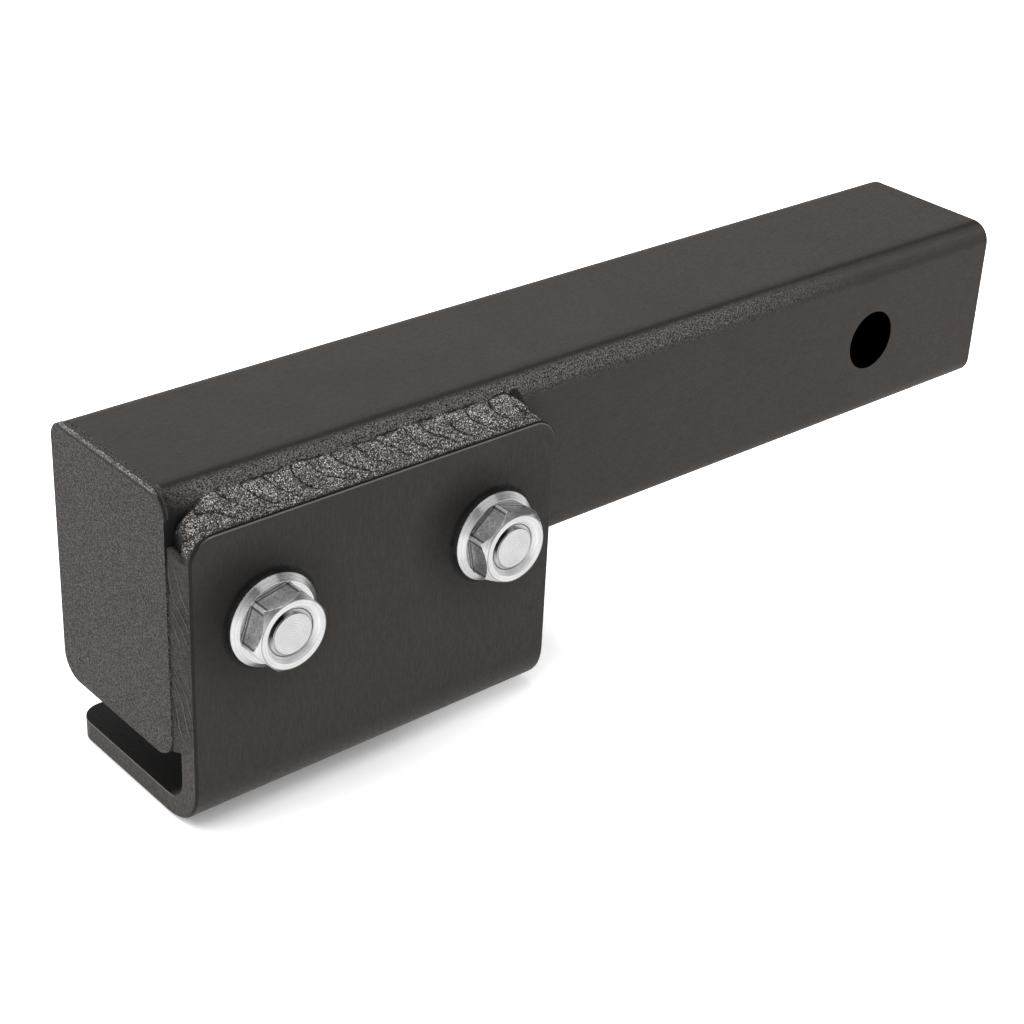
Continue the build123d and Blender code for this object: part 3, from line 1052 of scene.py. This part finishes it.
def side_bead(material):
    """The side weld at full detail: a low bead with long slanting streaks and a slanting top."""
    top = side_high.z + side_rise
    length = top - side_low.z
    rings = []
    painted_shading = []
    for step in range(side_steps + 1):
        drop = length * step / side_steps
        z = top - drop
        fade = smooth(0, side_start_fade, drop) * smooth(0, side_end_fade, length - drop)
        wave = side_wave * noise.noise(Vector((0, 2.5, z * 260)))
        start = Vector((near_x + side_gap, front_y + side_lap, z))
        reach = (side_reach + wave) * (0.6 + 0.4 * fade)
        end = Vector((plate_left + side_lap, front_y - reach, z))
        chord = end - start
        outward = Vector((chord.y, -chord.x, 0)).normalized()
        slant = side_slant * max(0.0, 1 - drop / side_slant_drop)
        ring = []
        for column in range(side_across + 1):
            across = column / side_across
            window = smooth(0, 0.16, across) * smooth(0, 0.12, 1 - across)
            point = start + chord * across
            point.z -= slant * across
            spot = Vector((across * side_grain_width, 0.5, point.z))
            drift = streak_drift * noise.noise(spot * 75)
            phase = drop / streak_pitch - streak_slope * across + drift
            part = phase - math.floor(phase)
            strength = 0.45 + 1.6 * noise.noise(spot * 130 + Vector((2, 6, 3)))
            strength = min(1.0, max(0.0, strength))
            height = streak_height * (ridge(phase) - 0.4) * strength
            height += streak_rough * noise.noise(spot * 600)
            height += streak_grain * noise.noise(spot * 1700)
            ring.append(point + outward * height * window * fade)
            # Painted highlight along each streak's crest, painted shade beside it and at the bead's
            # edges by the cap and the plate.
            light_line = strength * bell(part, *streak_light)
            dark_line = strength * bell(part, *streak_dark)
            beside_cap = bell(across, beside_cap_dark[0], 0.0, beside_cap_dark[1])
            beside_plate = bell(across, beside_plate_dark[0], 1.0, beside_plate_dark[1])
            beside = min(1.0, max(beside_cap, beside_plate))
            painted_shading.append((dark_line - light_line) * (1 - beside) + beside)
        ring.append(Vector((plate_left + 0.0004, front_y + side_root, z)))
        ring.append(Vector((near_x + 0.0012, front_y + side_root, z)))
        painted_shading.extend((0.0, 0.0))
        rings.append([tuple(point) for point in ring])
    piece = ring_mesh("side_bead", rings, material)
    mark_points(piece, painted_shading)
    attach(piece, "root")
    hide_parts("side_weld")


# Seam weld bead behind, in metres
seam_steps = 620
seam_across = 20
seam_proud = 0.0017
seam_base = 0.0016
seam_root = 0.0018
seam_end_fade = 0.004
seam_wander = 0.07
seam_grain_step = 0.0003
seam_pitch = 0.0036
seam_curve = 0.55
seam_drift = 0.35
seam_ripple = 0.00030
seam_grain = 0.00012


def seam_bead(material):
    """The bar's seam weld at full detail: a low row of overlapping crescents along the back."""
    middle_z = (seam_low.z + seam_high.z) / 2
    half = (seam_high.z - seam_low.z) / 2
    base_y = seam_high.y - seam_base
    length = seam_high.x - seam_low.x
    rings = []
    for step in range(seam_steps + 1):
        travel = length * step / seam_steps
        x = seam_low.x + travel
        fade = smooth(0, seam_end_fade, travel) * smooth(0, seam_end_fade, length - travel)
        wander = seam_wander * noise.noise(Vector((travel * 300, 6.0, 2.0)))
        wide = half * (0.45 + 0.55 * fade) * (1 + wander)
        ring = []
        for column in range(seam_across + 1):
            angle = math.pi * (column / seam_across - 0.5)
            spot = Vector((x, column * seam_grain_step, 0.7))
            drift = seam_drift * noise.noise(spot * 160)
            phase = travel / seam_pitch - seam_curve * math.cos(angle) + drift
            height = seam_proud * (0.25 + 0.75 * fade) + seam_ripple * (ridge(phase) - 0.4)
            height += seam_grain * noise.noise(spot * 800)
            ring.append((x, base_y + height * math.cos(angle), middle_z + wide * math.sin(angle)))
        ring.append((x, base_y - seam_root, middle_z + 0.5 * wide))
        ring.append((x, base_y - seam_root, middle_z - 0.5 * wide))
        rings.append(ring)
    piece = ring_mesh("seam_bead", rings, material)
    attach(piece, "root")
    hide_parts("bar_seam_weld")


# Colours, and noise scales along X, Y and Z that draw a coat's streaks
tube_colour = (0.0445, 0.0378, 0.0322)
plate_colour = (0.0340, 0.0290, 0.0245)
# The cap's colour is lighter than the tube's: painted light on the end face, which faces the left.
cap_lit_colour = (0.056, 0.0505, 0.0480)
bead_colour = (0.124, 0.1140, 0.1065)
rough_colour = (0.085, 0.0765, 0.0690)
side_colour = (0.043, 0.0375, 0.0365)
cap_line_colour = (0.092, 0.0845, 0.0790)
tube_streak = (330.0, 1900.0, 1900.0)
plate_streak = (2600.0, 2600.0, 420.0)

make_camera()
make_world()
make_floor()
make_hole_shadow_card()
make_lamps()
tube_coat = coat("tube_coat", tube_colour, 0.16, streak=tube_streak, streaks=0.10, marks=tube_marks)
bar_coat = coat("bar_coat", tube_colour, 0.16)
plate_coat = coat(
    "plate_coat",
    plate_colour,
    0.06,
    grain_size=0.0005,
    streak=plate_streak,
    streaks=0.17,
    roughness=0.5,
    marks=plate_marks,
)
cap_coat = coat("cap_coat", cap_lit_colour, 2.2, grain_size=0.00030, roughness=0.6, marks=cap_marks)
bead_coat = weld_coat("bead_coat", bead_colour, 3.0, bump_distance=0.0004, crack_shaded=True)
rough_coat = weld_coat("rough_coat", rough_colour, 0.7)
side_coat = weld_coat("side_coat", side_colour, 0.32, bump_distance=0.00012, crack_shaded=True)
cap_line_coat = weld_coat("cap_line_coat", cap_line_colour, 3.0, bump_distance=0.0002, line=True)
near_zinc = zinc_plate("near_zinc", near_middle, near_nut_turn)
far_zinc = zinc_plate("far_zinc", far_middle, far_nut_turn)
dress(tube_coat, "shank_tube")
dress(bar_coat, "spacer_bar")
dress(plate_coat, "clamp_plate")
dress(cap_coat, "end_cap")
dress(cap_line_coat, "cap_weld")
dress(rough_coat, "top_weld", "side_weld", "bar_seam_weld", "bar_end_weld")
dress(near_zinc, "near_bolt", "near_nut")
dress(far_zinc, "far_bolt", "far_nut")
top_bead(bead_coat)
side_bead(side_coat)
seam_bead(rough_coat)

scene = bpy.context.scene
scene.view_settings.view_transform = "Standard"
